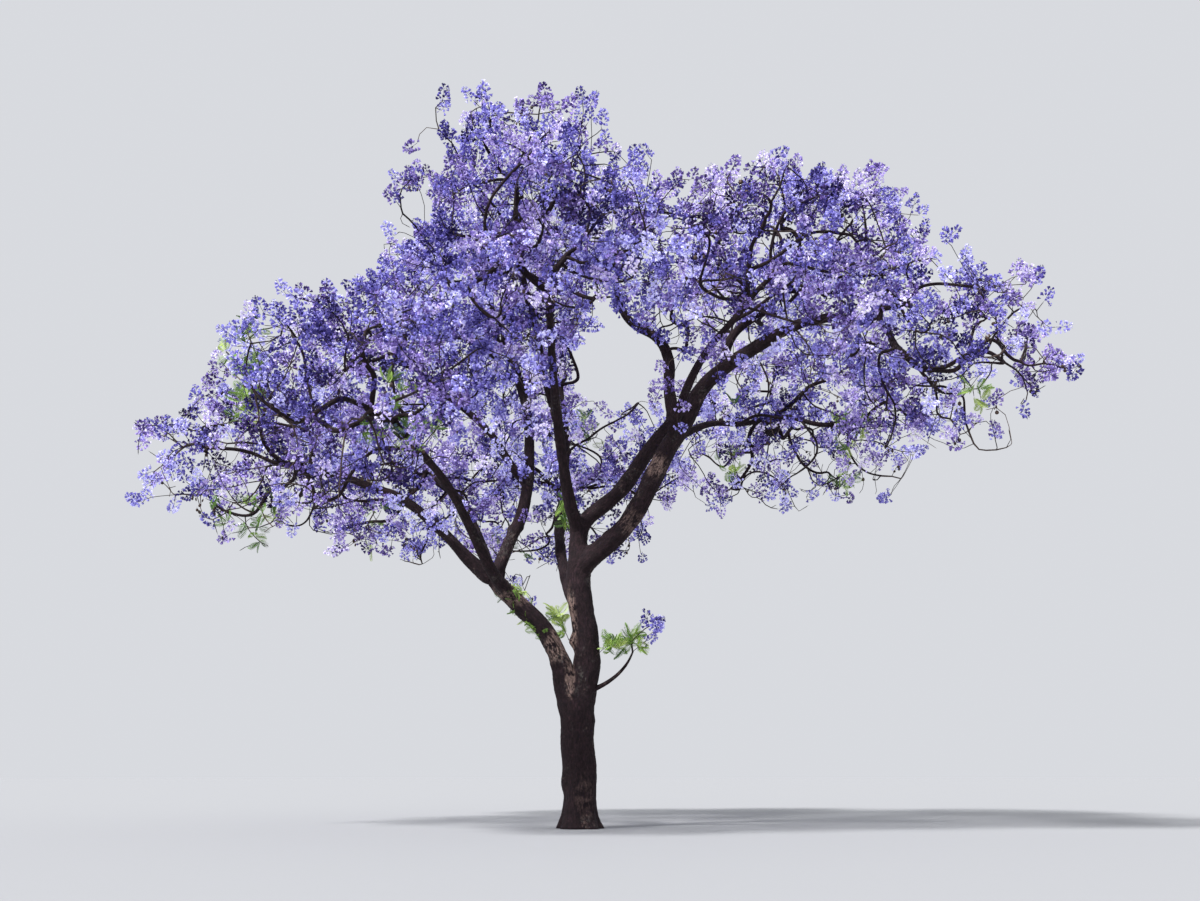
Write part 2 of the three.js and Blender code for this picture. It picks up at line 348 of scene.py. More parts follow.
def unit(vectors):
    vectors = np.asarray(vectors, float)
    return vectors / np.maximum(np.linalg.norm(vectors, axis=-1, keepdims=True), 1e-9)


# Centre lines
def walk(start, limb):
    """The limb's centre line from its foot, one short stride at a time."""
    strides = PATH_STEPS_PER_TURN * len(limb["rises"])
    share = (np.arange(strides) + 0.5) / strides

    def along(values):
        return np.radians(np.interp(share, np.linspace(0, 1, len(values)), values))

    turn, rise = along(limb["headings"]), along(limb["rises"])
    level = np.cos(rise)
    steps = np.stack([np.cos(turn) * level, np.sin(turn) * level, np.sin(rise)], 1) * limb["length"] / strides
    return np.vstack([start, start + np.cumsum(steps, 0)])


def curve_through(points):
    """A smooth curve through the points, as many short chords."""
    ends = np.vstack([2 * points[0] - points[1], points, 2 * points[-1] - points[-2]])
    t = (np.arange(CURVE_SAMPLES) / CURVE_SAMPLES)[:, None, None]
    a, b, c, d = ends[:-3], ends[1:-2], ends[2:-1], ends[3:]
    smooth = 0.5 * (2 * b + (c - a) * t + (2 * a - 5 * b + 4 * c - d) * t**2 + (3 * b - a - 3 * c + d) * t**3)
    return np.vstack([smooth.transpose(1, 0, 2).reshape(-1, 3), points[-1]])


def lengths_along(points):
    return np.concatenate([[0], np.cumsum(np.linalg.norm(np.diff(points, axis=0), axis=1))])


def place_at(points, share):
    run = lengths_along(points)
    return np.array([np.interp(share * run[-1], run, points[:, i]) for i in range(3)])


def resampled(points, radii, spacing):
    run = lengths_along(points)
    places = np.linspace(0, run[-1], max(FEWEST_RINGS, round(run[-1] / spacing)))
    curve = np.stack([np.interp(places, run, points[:, i]) for i in range(3)], 1)
    return curve, np.interp(places, run, radii)


def eased(values):
    """0 below 0, 1 above 1, and smooth between."""
    values = np.clip(values, 0, 1)
    return values * values * (3 - 2 * values)


def softened(values, passes):
    """Rounds off the corners of a line without moving its ends."""
    values = values.copy()
    for _ in range(passes):
        values[1:-1] = 0.25 * values[:-2] + 0.5 * values[1:-1] + 0.25 * values[2:]
    return values


centre_lines = {}
for limb_name, limb in LIMBS.items():
    foot_place = place_at(centre_lines[limb["parent"]], limb["at"]) if limb["parent"] else np.zeros(3)
    centre_lines[limb_name] = curve_through(walk(foot_place, limb))


def radii_along(name, swollen_foot):
    limb = LIMBS[name]
    run = lengths_along(centre_lines[name])
    share = run / run[-1]
    taper = TRUNK_TAPER if name == "trunk" else 1
    radii = (limb["foot"] + (limb["tip"] - limb["foot"]) * share**taper) / 2
    if swollen_foot:
        radii = radii * (1 + FOOT_SWELLING * np.exp(-share / SWELLING_REACH))
    return radii


def run_of(names):
    """One centre line, with its radii, through limbs that carry on from each other."""
    lines, radii = [], []
    for i, name in enumerate(names):
        line, radius = centre_lines[name], radii_along(name, i == 0 and name != "trunk")
        if i + 1 < len(names):
            share = lengths_along(line) / lengths_along(line)[-1]
            kept = share < LIMBS[names[i + 1]]["at"] - JOIN_MARGIN
            line, radius = line[kept], radius[kept]
        lines.append(line)
        radii.append(radius)
    line, radius = resampled(np.vstack(lines), np.concatenate(radii), RING_SPACING)
    passes = JOINED_SOFTENING if len(names) > 1 else LIMB_SOFTENING
    line, radius = softened(line, passes), softened(radius, passes)
    if names[0] != "trunk":
        radius *= FOOT_SHARE + (1 - FOOT_SHARE) * eased(lengths_along(line) / radius[0])
    return line, radius


# Meshes
def piece(name, points, faces, materials, shades=None, smooth=True, grain=None, unrolled=None):
    """A mesh object. faces is a list of arrays, each of faces with one number of corners."""
    mesh = bpy.data.meshes.new(name)
    corners = np.concatenate([f.reshape(-1) for f in faces])
    counts = np.concatenate([np.full(len(f), f.shape[1]) for f in faces])
    mesh.vertices.add(len(points))
    mesh.vertices.foreach_set("co", np.ascontiguousarray(points, np.float32).reshape(-1))
    mesh.loops.add(len(corners))
    mesh.loops.foreach_set("vertex_index", corners.astype(np.int32))
    mesh.polygons.add(len(counts))
    mesh.polygons.foreach_set("loop_start", (np.cumsum(counts) - counts).astype(np.int32))
    if shades is not None:
        mesh.polygons.foreach_set("material_index", np.asarray(shades, np.int32))
    mesh.polygons.foreach_set("use_smooth", np.full(len(counts), smooth))
    for material in materials:
        mesh.materials.append(material)
    mesh.update(calc_edges=True)
    if grain is not None:
        layer = mesh.attributes.new("grain", "FLOAT_VECTOR", "POINT")
        layer.data.foreach_set("vector", np.ascontiguousarray(grain, np.float32).reshape(-1))
    if unrolled is not None:
        layer = mesh.uv_layers.new(name="OFBake")
        layer.data.foreach_set("uv", np.ascontiguousarray(unrolled, np.float32).reshape(-1))
    thing = bpy.data.objects.new(name, mesh)
    bpy.context.scene.collection.objects.link(thing)
    return thing


def frames_along(points):
    """Directions along a line and two square to it, which turn as little as they can."""
    forward = unit(np.gradient(points, axis=0))
    side = np.zeros_like(forward)
    side[0] = unit(np.cross(forward[0], MOSTLY_AWAY))
    for i in range(1, len(points)):
        side[i] = unit(side[i - 1] - forward[i] * (side[i - 1] @ forward[i]))
    return forward, side, np.cross(forward, side)


def tube_faces(rings, sides):
    """Quads between rings of vertices, and a fan to the one vertex after them."""
    around = np.arange(sides)
    after = (around + 1) % sides
    start = (np.arange(rings - 1) * sides)[:, None]
    quads = np.stack([start + around, start + after, start + sides + after, start + sides + around], -1)
    last = (rings - 1) * sides
    fan = np.stack([last + around, last + after, np.full(sides, rings * sides)], -1)
    return quads.reshape(-1, 4), fan


def strip_map(along, sides, left=0.0, width=1.0):
    """Where the corners of a tube's quads and end fan lie on a flat map: rings up it, sides across it."""
    edge = left + width * np.arange(sides + 1) / sides
    low, high = np.repeat(along[:-1, None], sides, 1), np.repeat(along[1:, None], sides, 1)
    start, end = np.broadcast_to(edge[:-1], low.shape), np.broadcast_to(edge[1:], low.shape)
    quads = np.stack([start, low, end, low, end, high, start, high], -1)
    last = np.full(sides, along[-1])
    point = last + MAP_MARGIN / 5
    fan = np.stack([edge[:-1], last, edge[1:], last, (edge[:-1] + edge[1:]) / 2, point], -1)
    return quads.reshape(-1, 2), fan.reshape(-1, 2)


def turns_of(count):
    """Angles evenly round a circle."""
    return np.arange(count) * 2 * math.pi / count


def outward_round(points, sides):
    """Angles round a line, and the directions out of it at those angles, for a ring at each of its points."""
    _, side, other = frames_along(points)
    angle = turns_of(sides)
    return angle, side[:, None] * np.cos(angle)[:, None] + other[:, None] * np.sin(angle)[:, None]


def simple_tube(points, radii, sides):
    """A bare tube with a pointed tip, for twigs."""
    _, ring = outward_round(points, sides)
    skin = points[:, None] + ring * radii[:, None, None]
    quads, fan = tube_faces(len(points) - 1, sides)
    return np.vstack([skin[:-1].reshape(-1, 3), points[-1]]), quads, fan


# Trunk and boughs with their bark
def waves(angle, run, turns, pace, count, random):
    """Waves that close round a limb, at most this many turns round it and pace radians a metre along."""
    height = np.zeros_like(angle)
    for _ in range(count):
        phase = random.integers(0, turns + 1) * angle + random.normal(0, pace) * run
        height += np.cos(phase + random.uniform(0, 2 * math.pi))
    return height * math.sqrt(2 / count)


def bark_relief(angle, run, radius, random):
    """How far the bark stands in or out: slow lumps, flutes lengthwise and a net of fissures."""
    width = float(np.median(radius))
    lumps = waves(angle, run, turns=2, pace=5.0, count=16, random=random) * LUMP * radius
    lumps = lumps + knots(angle, run, radius, random)
    flutes = waves(angle, run, turns=5, pace=1.6, count=12, random=random) * FLUTE * radius
    turns = max(3, int(2 * math.pi * width / PLATE))
    plates = waves(angle, run, turns, pace=16, count=60, random=random)
    fissures = -np.exp(-((plates / FISSURE_BREADTH) ** 2)) * min(FISSURE[0], FISSURE[1] * width)
    rough = waves(angle, run, 2 * turns, pace=46, count=50, random=random)
    return lumps + flutes + fissures + rough * min(ROUGHNESS[0], ROUGHNESS[1] * width)


def knots(angle, run, radius, random):
    """Low swellings where twigs once grew."""
    height = np.zeros_like(angle)
    for _ in range(int(run.max() / KNOT_SPACING)):
        place, turn = random.uniform(LOWEST_KNOT, run.max()), random.uniform(0, 2 * math.pi)
        across = np.remainder(angle - turn + math.pi, 2 * math.pi) - math.pi
        along = (run - place) / radius
        height_here = radius * random.uniform(*KNOT_HEIGHT)
        height += height_here * np.exp(-(across**2 + along**2) / random.uniform(*KNOT_BREADTH))
    return height


def flare(angle, height):
    """How far the trunk's foot spreads, in uneven low ridges."""
    ridges = 1 + RIDGE_DEPTH * np.cos(FLARE_RIDGES * angle + RIDGE_SWAY * np.sin(2 * angle))
    return FLARE_SPREAD * ridges * np.exp(-height / FLARE_HEIGHT)


runs = {name: run_of(names) for name, (names, _) in RUNS.items()}
cores = {name: resampled(line, radii, CORE_SPACING) for name, (line, radii) in runs.items()}
below_dome = cores["trunk_wood"][0][:, 2] < LIMBS["trunk"]["length"] - TRUNK_DOME
cores["trunk_wood"] = tuple(values[below_dome] for values in cores["trunk_wood"])


def gap_to(run_name, points):
    """How far points are outside a run's wood, which way is out of it, and its radius there."""
    line, radii = cores[run_name]
    squares = (points**2).sum(1)[:, None] - 2 * points @ line.T + (line**2).sum(1)
    gap = np.sqrt(np.maximum(squares, 0)) - radii
    nearest = gap.argmin(1)
    return gap[np.arange(len(points)), nearest], unit(points - line[nearest]), radii[nearest]


def filleted(points, own_radius, own_name):
    """Moves a limb's skin out to one rounded surface that it shares with the limbs it joins. Gives also how
    near each point is to a crotch, and how far it is tucked under another limb's skin."""
    moved = points.copy()
    margin = 0.5
    for _ in range(FILLET_PASSES):
        gap, lean, _ = gap_to(own_name, moved)
        own_gap = gap.copy()
        buried = np.full(len(points), np.inf)
        for name, (line, _) in cores.items():
            inside = (moved > line.min(0) - margin) & (moved < line.max(0) + margin)
            near = np.nonzero(np.all(inside, axis=1))[0]
            if name == own_name or not len(near):
                continue
            other_gap, away, other_radius = gap_to(name, moved[near])
            width = FILLET_WIDTH * np.minimum(own_radius[near], other_radius)
            buried[near] = np.minimum(buried[near], (other_gap - own_gap[near]) / width)
            apart = other_gap - gap[near]
            closeness = np.clip(1 - np.abs(apart) / width, 0, 1)
            share = np.where(apart > 0, closeness / 2, 1 - closeness / 2)[:, None]
            gap[near] = np.minimum(other_gap, gap[near]) - closeness**2 * width / 4
            lean[near] = lean[near] * (1 - share) + away * share
        slope = np.maximum((lean**2).sum(1), LEAST_SLOPE)
        kept = eased((buried + 1) / LETTING_GO)
        moved -= lean * (gap * kept / slope)[:, None]
    return moved, np.clip(1 - np.abs(buried), 0, 1), eased(-buried / TUCK_REACH)


def grain_at(angles, radius, along):
    """Where the bark's pattern lies on a limb, as if every limb stood upright."""
    across = [np.cos(angles) * radius, np.sin(angles) * radius]
    return np.stack([*across, along * GRAIN_STRETCH], -1).reshape(-1, 3)


def bark_wood(name, sides, seed, material):
    """One run of trunk or bough, with its relief, the grain that its bark follows and a map for baking."""
    random = np.random.default_rng(seed)
    line, radii = runs[name]
    is_trunk = name == "trunk_wood"
    distance = lengths_along(line)
    angle, outward = outward_round(line, sides)
    outward = outward.reshape(-1, 3)
    angles, distances = np.meshgrid(angle, distance)
    radius = np.repeat(radii[:, None], sides, 1)
    relief = bark_relief(angles, distances, radius, random)
    core = np.repeat(line, sides, 0) + outward * radius.reshape(-1, 1)
    skin, crotch, tucked = filleted(core, radius.reshape(-1), name)
    relief = relief.reshape(-1) * (1 - CROTCH_CALM * crotch) - TUCK * radius.reshape(-1) * tucked
    if is_trunk:
        relief += flare(angles, distances).reshape(-1)
    skin += outward * relief[:, None]
    tip = line[-1] + unit(line[-1] - line[-2]) * radii[-1] * (TRUNK_CAP if is_trunk else LIMB_CAP)
    if is_trunk:
        skin[:sides, 2] = 0
    quads, fan = tube_faces(len(line), sides)
    points = np.vstack([skin, tip])
    faces = [quads, fan]
    unrolled = list(strip_map(distance / distance[-1] * (1 - MAP_MARGIN), sides))
    if is_trunk:
        around = np.arange(sides)
        points = np.vstack([points, [0, 0, 0]])
        underside = np.stack([(around + 1) % sides, around, np.full(sides, len(points) - 1)], -1)
        faces.append(underside)
        unrolled.append(np.zeros((3 * sides, 2)))
    grain = grain_at(angles, radius, distances)
    spare = len(points) - len(grain)
    grain = np.vstack([grain, np.repeat(grain[-1:], spare, 0)]) + seed * GRAIN_SHIFT
    return piece(name, points, faces, [material], grain=grain, unrolled=np.vstack(unrolled))


# Shader maths
class Sock:
    """A shader socket or number that can be used in sums."""

    tree = None

    def __init__(self, value):
        self.value = value

    @classmethod
    def node(cls, kind, settings=None, **inputs):
        """Any node: its settings first, then the values or links of its sockets, by name."""
        made = cls.tree.nodes.new(kind)
        for name, value in (settings or {}).items():
            if name == "ramp":
                stops = made.color_ramp.elements
                while len(stops) < len(value):
                    stops.new(0.5)
                for stop, (position, colour) in zip(stops, value):
                    stop.position = position
                    stop.color = (*colour, 1)
            else:
                setattr(made, name, value)
        for name, value in inputs.items():
            key = int(name[2:]) if name.startswith("at") else name.replace("_", " ")
            cls.join(value, made.inputs[key])
        return made

    @classmethod
    def join(cls, value, socket):
        if isinstance(value, Sock):
            value = value.value
        if isinstance(value, bpy.types.NodeSocket):
            cls.tree.links.new(value, socket)
        else:
            socket.default_value = value

    def maths(self, operation, *others):
        made = Sock.node("ShaderNodeMath", {"operation": operation}, at0=self)
        for i, other in enumerate(others):
            Sock.join(other, made.inputs[i + 1])
        return Sock(made.outputs[0])

    def __add__(self, other):
        return self.maths("ADD", other)

    def __mul__(self, other):
        return self.maths("MULTIPLY", other)

    def __sub__(self, other):
        return self.maths("SUBTRACT", other)

    def __rsub__(self, other):
        return Sock(other).maths("SUBTRACT", self)

    __radd__ = __add__
    __rmul__ = __mul__

    def step(self, low, high):
        """0 below low, 1 above high, and smooth between."""
        made = Sock.node(
            "ShaderNodeMapRange", {"interpolation_type": "SMOOTHSTEP", "clamp": True},
            Value=self, From_Min=low, From_Max=high, To_Min=0.0, To_Max=1.0,
        )
        return Sock(made.outputs[0])

    def mixed(self, low, high):
        """A colour between two, by this factor."""
        made = Sock.node("ShaderNodeMix", {"data_type": "RGBA"}, at0=self, at6=low, at7=high)
        return Sock(made.outputs[2])


def finish_of(name):
    """A new material, whose nodes are the current ones from here on, and its surface shader."""
    material = bpy.data.materials.new(name)
    material.use_nodes = True
    Sock.tree = material.node_tree
    return material, material.node_tree.nodes["Principled BSDF"]


def plain_finish(name, colour, roughness, glow=0.0, gloss=0.5):
    """One colour all over. The glow stands in for light that shines through."""
    material, shader = finish_of(name)
    values = {
        "Base Color": (*colour, 1), "Roughness": roughness, "Specular IOR Level": gloss,
        "Emission Color": (*colour, 1), "Emission Strength": glow,
    }
    for socket, value in values.items():
        shader.inputs[socket].default_value = value
    return material


def plain_finishes(name, colours, roughness, **more):
    return [plain_finish(f"{name}_{i}", colour, roughness, **more) for i, colour in enumerate(colours)]


# Colours of the bark, whose tan serves both for wear and for painted sunlight, and places where sunlight on
# the boughs is painted pale: middle, half size along each axis, and how pale
FURROW_BROWN = (0.008, 0.004, 0.006, 1)
PLATE_BROWN = (0.044, 0.023, 0.028, 1)
TAN_WEAR_AND_SUNLIGHT = (0.30, 0.205, 0.175, 1)
WEATHERED_GREY = (0.16, 0.155, 0.135, 1)
CRACK_BROWN = (0.010, 0.007, 0.007, 1)
BARK_GLOSS = 0.22
SUNLIT_PLACES = [
    ((-0.17, -0.10, 2.40), (0.12, 0.40, 0.42), 1.3),
    ((-0.20, -0.10, 3.30), (0.20, 0.40, 0.90), 1.1),
    ((1.28, -0.62, 6.02), (0.30, 0.30, 0.30), 0.9),
    ((0.85, -0.45, 5.05), (0.35, 0.30, 0.35), 0.5),
    ((-1.15, -0.05, 3.85), (0.55, 0.30, 0.30), 0.7),
    ((-0.42, -0.08, 3.00), (0.26, 0.40, 0.42), 1.0),
    ((0.10, -0.30, 0.55), (0.30, 0.25, 0.50), 0.3),
]


def bark_finish():
    """Dark brown bark, with a net of darker cracks, tan plates that are partly wear and partly painted
    dappled sunlight, painted sunlight on the places where the boughs are lit, and grey-green weathered
    patches.
    """
    material, shader = finish_of("jacaranda_bark")
    grain = Sock(Sock.node("ShaderNodeAttribute", {"attribute_name": "grain"}).outputs["Vector"])
    place = Sock(Sock.node("ShaderNodeTexCoord").outputs["Object"])

    def noise(vector, scale, detail=5.0, roughness=0.6):
        made = Sock.node("ShaderNodeTexNoise", Vector=vector, Scale=scale, Detail=detail, Roughness=roughness)
        return Sock(made.outputs["Fac"])

    # A soft patch of painted sunlight round one place
    def sunlit_place(middle, size, strength):
        away = Sock.node("ShaderNodeVectorMath", {"operation": "SUBTRACT"}, at0=place, at1=middle)
        scaled = Sock.node("ShaderNodeVectorMath", {"operation": "DIVIDE"}, at0=away.outputs[0], at1=size)
        gap = Sock.node("ShaderNodeVectorMath", {"operation": "LENGTH"}, at0=scaled.outputs[0])
        return (1 - Sock(gap.outputs["Value"]).step(0.35, 1.0)) * strength

    def bent_grain(scale, sway):
        shift = Sock.node("ShaderNodeTexNoise", Vector=grain, Scale=scale, Detail=2.0).outputs["Color"]
        middled = Sock.node("ShaderNodeVectorMath", {"operation": "SUBTRACT"}, at0=shift, at1=(0.5, 0.5, 0.5))
        return Sock.node(
            "ShaderNodeVectorMath", {"operation": "MULTIPLY_ADD"},
            at0=middled.outputs[0], at1=(sway, sway, sway), at2=grain,
        ).outputs[0]

    # Cracks between small plates, and furrows where a slow noise passes its middle
    cells = Sock.node(
        "ShaderNodeTexVoronoi", {"feature": "DISTANCE_TO_EDGE"}, Vector=bent_grain(22.0, 0.09), Scale=26.0
    )
    furrows = noise(bent_grain(9.0, 0.12), 15.0, 3.0)
    furrow = 1 - ((furrows - 0.5).maths("ABSOLUTE")).step(0.0, 0.05)
    streaks = noise(grain, 34.0)
    mottle = noise(place, 9.0, 6.0)
    patches = noise(place, 2.1, 4.0)
    crack = (1 - Sock(cells.outputs["Distance"]).step(0.0, 0.13)) * mottle.step(0.36, 0.60)
    crack = crack.maths("MAXIMUM", furrow * 0.9)
    # Colours, from the ground brown to the cracks that lie over all
    brown = (streaks * 0.6 + mottle * 0.5).step(0.36, 0.80).mixed(FURROW_BROWN, PLATE_BROWN)
    # Tan plates: partly wear, partly painted dappled sunlight
    wear_and_dapple = (mottle * 0.6 + patches * 0.7).step(0.72, 0.88) * (streaks.step(0.42, 0.6) * 0.5 + 0.15)
    # Painted sunlight on the places where the boughs are lit
    pale = sum((sunlit_place(*spot) for spot in SUNLIT_PLACES[1:]), sunlit_place(*SUNLIT_PLACES[0]))
    pale = pale * (mottle * 0.6 + streaks * 0.5).step(0.46, 0.62)
    tan = (wear_and_dapple + pale).step(0.0, 1.0).mixed(brown, TAN_WEAR_AND_SUNLIGHT)
    weathered = patches.step(0.54, 0.66) * noise(place, 24.0).step(0.46, 0.62) * 0.35
    grey = weathered.mixed(tan, WEATHERED_GREY)
    Sock.join((crack * 0.62).mixed(grey, CRACK_BROWN), shader.inputs["Base Color"])
    Sock.join(0.72 + mottle * 0.25, shader.inputs["Roughness"])
    shader.inputs["Specular IOR Level"].default_value = BARK_GLOSS
    height = streaks * 0.5 + noise(grain, 90.0) * 0.3 - crack * 0.8
    bump = Sock.node("ShaderNodeBump", Strength=0.75, Distance=0.012, Height=height)
    Sock.join(Sock(bump.outputs[0]), shader.inputs["Normal"])
    return material


# Petals of two families, from the darkest shade to the lightest, partly the blossom's own range and partly
# painted shade and painted light, and the other plain colours
PETALS = {
    "violet": [
        (0.019, 0.012, 0.080), (0.044, 0.033, 0.180), (0.098, 0.080, 0.340), (0.174, 0.150, 0.512),
        (0.274, 0.250, 0.690), (0.425, 0.405, 0.860), (0.660, 0.650, 0.980),
    ],
    "lilac": [
        (0.026, 0.015, 0.076), (0.064, 0.040, 0.172), (0.140, 0.094, 0.328), (0.245, 0.178, 0.510),
        (0.382, 0.303, 0.690), (0.575, 0.492, 0.860), (0.820, 0.770, 0.980),
    ],
}
SHADES = 7
# Petals glow, the paler shades more: painted light standing for light that shines through them
PETAL_GLOW = (0.05, 0.03)
LEAF_GREENS = [(0.09, 0.19, 0.03), (0.17, 0.31, 0.05), (0.27, 0.42, 0.08), (0.40, 0.52, 0.14)]
TWIG_BROWNS = [(0.022, 0.015, 0.014), (0.038, 0.026, 0.023), (0.080, 0.056, 0.046)]
POD_BROWNS = [(0.035, 0.020, 0.014), (0.075, 0.042, 0.026)]
petals = [
    plain_finish(f"{tone}_petal_{i}", colour, 0.6, glow=PETAL_GLOW[0] + PETAL_GLOW[1] * i, gloss=0.15)
    for tone, colours in PETALS.items() for i, colour in enumerate(colours)
]
# Leaves glow a little: painted light standing for light that shines through them
greens = plain_finishes("leaf", LEAF_GREENS, 0.5, glow=0.04)
twig_barks = plain_finishes("twig_bark", TWIG_BROWNS, 0.8, gloss=0.2)
pod_skins = plain_finishes("pod", POD_BROWNS, 0.6)
bark = bark_finish()

for number, (run_name, (nodes, sides)) in enumerate(RUNS.items()):
    wood = bark_wood(run_name, sides, number + 1, bark)
    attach(wood, "root")
    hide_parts(*nodes)


# Twigs
def inside_of(node):
    """A test of the frame's solid: how deep each point lies in it, in metres, or less than 0 outside, and
    which way its nearest face looks."""
    mesh = frame["nodes"][node].data
    tree = BVHTree.FromPolygons([v.co[:] for v in mesh.vertices], [p.vertices[:] for p in mesh.polygons])

    def depth(points):
        found = [tree.find_nearest(Vector(p)) for p in points]
        deep = [(near - Vector(p)).dot(normal) for p, (near, normal, _, _) in zip(points, found)]
        return np.array(deep), np.array([normal[:] for _, normal, _, _ in found])

    return depth


solid_of = {mass: inside_of(mass) for mass in FILLS.values()}


def depth_in(node, points):
    return solid_of[node](points)[0]


def crown_depth(points):
    """How deep each point lies in the mass that it is deepest in, and which way that mass's skin looks."""
    deepest, facing = solid_of[CROWN_MASSES[0]](points)
    for mass in CROWN_MASSES[1:]:
        deep, normal = solid_of[mass](points)
        nearer = deep > deepest
        deepest, facing[nearer] = np.maximum(deep, deepest), normal[nearer]
    return deepest, facing


def reined_in(joints, parents):
    """Draws in the wood that stands out of the crown's outline, and leaves out what grows on from a long
    stretch outside it, and twigs that cross the opening."""
    deepest, facing = crown_depth(joints)
    outer = (facing * unit(joints - CROWN_MIDDLE)).sum(1) > FACES_OUT
    proud = np.clip(-deepest - STANDS_PROUD, 0, None) * (outer & (parents >= 0))
    thin = thickened(parents, 1)[1] <= GAP_TWIG_LOAD
    astray = (outer & (deepest < NEARLY_OUT)) | (in_opening(joints) & thin)
    stretch = np.zeros(len(joints))
    for i, parent in enumerate(parents):
        if parent >= 0 and stretch[parent] > BARE_STRETCH:
            stretch[i] = stretch[parent]
        elif parent >= 0 and astray[i]:
            stretch[i] = stretch[parent] + 1
    return only(stretch <= BARE_STRETCH, joints - facing * DRAWN_IN * proud[:, None], parents)


def only(kept, joints, parents):
    """The joints that are kept, and the parent of each among them."""
    number = np.cumsum(kept) - 1
    return joints[kept], np.where(parents[kept] < 0, -1, number[parents[kept]])


def spread(points, apart, random):
    """Thins points out so that hardly any two are closer than this."""
    kept = []
    cells = {}
    for p in points[random.permutation(len(points))]:
        cell = tuple((p // apart).astype(int))
        around = [
            q
            for dx in (-1, 0, 1) for dy in (-1, 0, 1) for dz in (-1, 0, 1)
            for q in cells.get((cell[0] + dx, cell[1] + dy, cell[2] + dz), ())
        ]
        if all((p - q) @ (p - q) > apart * apart for q in around):
            kept.append(p)
            cells.setdefault(cell, []).append(p)
    return np.array(kept)


def mass_targets(node, random):
    """Places for twig ends in a mass, closer together towards its outside, and in the clefts beside it."""
    mesh = frame["nodes"][node].data
    corners = np.array([v.co[:] for v in mesh.vertices])
    low, high = corners.min(0) - CLEFT_REACH, corners.max(0) + CLEFT_REACH
    tuft = node == "low_tuft"
    count = TUFT_TRIES if tuft else int(np.prod(high - low) * TRIES_PER_M3)
    tries = random.uniform(low, high, (count, 3))
    depth = depth_in(node, tries)
    wanted = np.where(depth < CORE_DEPTH, 1.0, CORE_SHARE)
    inner = (depth > (TUFT_SKIN_DEPTH if tuft else SKIN_DEPTH)) & (random.uniform(size=count) < wanted)
    if tuft:
        return spread(tries[inner], TUFT_SPACING, random)
    beside = np.nonzero((depth <= SKIN_DEPTH) & (depth > -CLEFT_REACH))[0]
    others = [depth_in(other, tries[beside]) for other in CROWN_MASSES if other != node]
    nearest = np.max(others, axis=0)
    cleft = beside[(nearest > -CLEFT_REACH) & (nearest < SKIN_DEPTH) & (depth[beside] > nearest)]
    return spread(tries[np.concatenate([np.nonzero(inner)[0], cleft])], TARGET_SPACING, random)


def in_opening(points):
    """Where the crown is open, as seen from the photograph's place."""
    away = (points - EYE) / (points[:, 1:2] - EYE[1])
    across = (away[:, 0] * -EYE[1] - GAP_MIDDLE[0]) / GAP_SIZE[0]
    height = (away[:, 2] * -EYE[1] + EYE[2] - GAP_MIDDLE[1]) / GAP_SIZE[1]
    return across**2 + height**2 < 1 + GAP_RAGGEDNESS * place_noise(points, RAGGED_PATCH, seed=3)


def side_targets(line, random):
    """Places for twig ends round a bare limb."""
    run = lengths_along(line)
    count = int(SIDE_TARGETS_PER_M * run[-1] * (1 - SIDE_FROM))
    share = random.uniform(SIDE_FROM, 1, count) * run[-1]
    middle = np.stack([np.interp(share, run, line[:, i]) for i in range(3)], 1)
    way = unit(random.normal(size=(count, 3)) + SIDE_LIFT * UP)
    return middle + way * random.uniform(*SIDE_REACH, (count, 1))


def grown(joints, parents, targets, random, stride, reach):
    """Grows wood on from the joints towards the targets. Gives all joints, and the parent of each."""
    nearest = ((targets[:, None] - joints[None]) ** 2).sum(2).argmin(1)
    gap = np.linalg.norm(targets - joints[nearest], axis=1)
    for _ in range(GROWTH_ROUNDS):
        alive = np.nonzero(gap > reach)[0]
        if not len(alive):
            break
        pull = np.zeros_like(joints)
        np.add.at(pull, nearest[alive], unit(targets[alive] - joints[nearest[alive]]))
        growing = np.unique(nearest[alive])
        way = unit(pull[growing]) + random.normal(0, WANDER, (len(growing), 3)) + LIFT * UP
        fresh = joints[growing] + unit(way) * stride
        apart = np.linalg.norm(targets[alive][:, None] - fresh[None], axis=2)
        best = apart.argmin(1)
        closest = apart[np.arange(len(alive)), best]
        closer = closest < gap[alive]
        useful, number = np.unique(best[closer], return_inverse=True)
        nearest[alive[closer]] = len(joints) + number
        gap[alive[closer]] = closest[closer]
        joints = np.vstack([joints, fresh[useful]])
        parents = np.concatenate([parents, growing[useful]])
    return joints, parents


def crown_wood(line, targets, random, fine):
    """Boughs and then twigs that grow on from a limb: first few and long, then many and short."""
    run = lengths_along(line) / lengths_along(line)[-1]
    feet = np.array([place_at(line, share) for share in np.linspace(SIDE_FROM, 1, BOUGH_FEET)])
    joints, parents = feet, np.full(len(feet), -1)
    if not fine:
        distant = spread(targets, BOUGH_SPACING, random)
        joints, parents = grown(joints, parents, distant, random, BOUGH_STRIDE, BOUGH_REACH)
    bare = line[run > SIDE_FROM][::2]
    joints = np.vstack([joints, bare])
    parents = np.concatenate([parents, np.full(len(bare), -1)])
    shorter = 2 if fine else 1
    joints, parents = grown(joints, parents, targets, random, TWIG_STRIDE / shorter, TWIG_REACH / shorter)
    gap = np.sqrt(((joints[:, None] - line[None]) ** 2).sum(2).min(1))
    joints = joints + bent(joints) * np.clip(gap / BEND_FROM, 0, 1)[:, None]
    for chain in chains_of(parents, thickened(parents, 1)[1]):
        joints[chain] = softened(joints[chain], 1)
    return (joints, parents) if fine else reined_in(joints, parents)


def bent(points):
    """How far slow waves through the crown shift each point, which makes the wood sinuous."""
    shift = np.zeros_like(points)
    for size, sway in BENDS:
        shift += sway * np.stack([place_noise(points, size, seed=5 + i) for i in range(3)], 1)
    return shift


